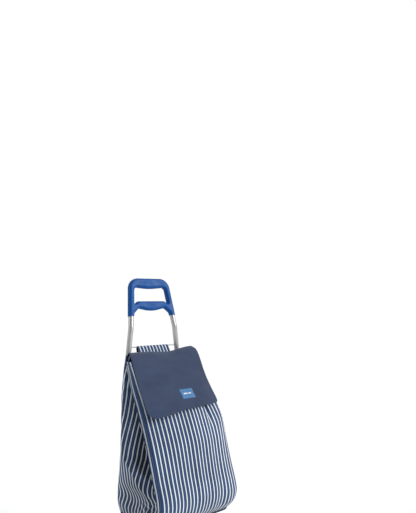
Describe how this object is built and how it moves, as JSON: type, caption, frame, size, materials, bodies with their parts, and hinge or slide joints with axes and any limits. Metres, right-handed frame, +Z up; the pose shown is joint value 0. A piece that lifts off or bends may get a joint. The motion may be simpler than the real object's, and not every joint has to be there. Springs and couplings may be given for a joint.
{
  "type": "shopping trolley on wheels",
  "caption": "Upright two-wheeled shopping trolley: bent tube frame with a moulded loop handle, a tapered striped cloth bag with a lift-up flap, a base shelf and a front stand.",
  "frame": {"origin": "on the floor, under the middle of the trolley's bounding box", "axes": "+Z up, +X to the trolley's own right when its bag is seen from the front, the bag and its flap face -Y, the uprights and wheels stand at +Y"},
  "size_m": [0.38, 0.331, 0.9747],
  "materials": {
    "blue_plastic": "satin",
    "dark_plastic": "satin",
    "silver_tube": "satin",
    "zinc_steel": "satin",
    "black_rubber": "matte",
    "striped_cloth": "matte",
    "navy_cloth": "matte",
    "label_cloth": "satin",
    "board_plastic": "matte"
  },
  "bodies": {
    "frame": {"handle_grip": "blue_plastic", "handle_screws": "zinc_steel", "upright_left": "silver_tube", "upright_right": "silver_tube", "upright_plugs": "dark_plastic", "hanging_wire": "zinc_steel", "base_frame": "silver_tube", "base_end_plugs": "dark_plastic", "base_rivets": "zinc_steel", "brace_left": "silver_tube", "brace_right": "silver_tube", "brace_rivets": "zinc_steel", "front_stand": "silver_tube", "stand_foot_left": "dark_plastic", "stand_foot_right": "dark_plastic", "axle": "zinc_steel", "spacer_left": "dark_plastic", "spacer_right": "dark_plastic", "axle_retainers": "zinc_steel", "bag_front": "striped_cloth", "bag_back": "striped_cloth", "bag_left_side": "striped_cloth", "bag_right_side": "striped_cloth", "bag_bottom": "navy_cloth", "bottom_board": "board_plastic", "bag_hem": "navy_cloth", "hanging_loop": "striped_cloth"},
    "left_wheel": {"rim_left": "blue_plastic", "tyre_left": "black_rubber", "hub_cap_left": "dark_plastic"},
    "right_wheel": {"rim_right": "blue_plastic", "tyre_right": "black_rubber", "hub_cap_right": "dark_plastic"},
    "flap": {"flap": "navy_cloth", "label_patch": "label_cloth"}
  },
  "joints": [
    {"name": "left_wheel_roll", "type": "hinge", "parent": "frame", "child": "left_wheel", "pos_m": [-0.169, 0.096, 0.07], "axis": [1, 0, 0], "continuous": true},
    {"name": "right_wheel_roll", "type": "hinge", "parent": "frame", "child": "right_wheel", "pos_m": [0.169, 0.096, 0.07], "axis": [1, 0, 0], "continuous": true},
    {"name": "flap_lift", "type": "hinge", "parent": "frame", "child": "flap", "pos_m": [0, 0.062, 0.724], "axis": [-1, 0, 0], "range_deg": [0, 132]}
  ]
}
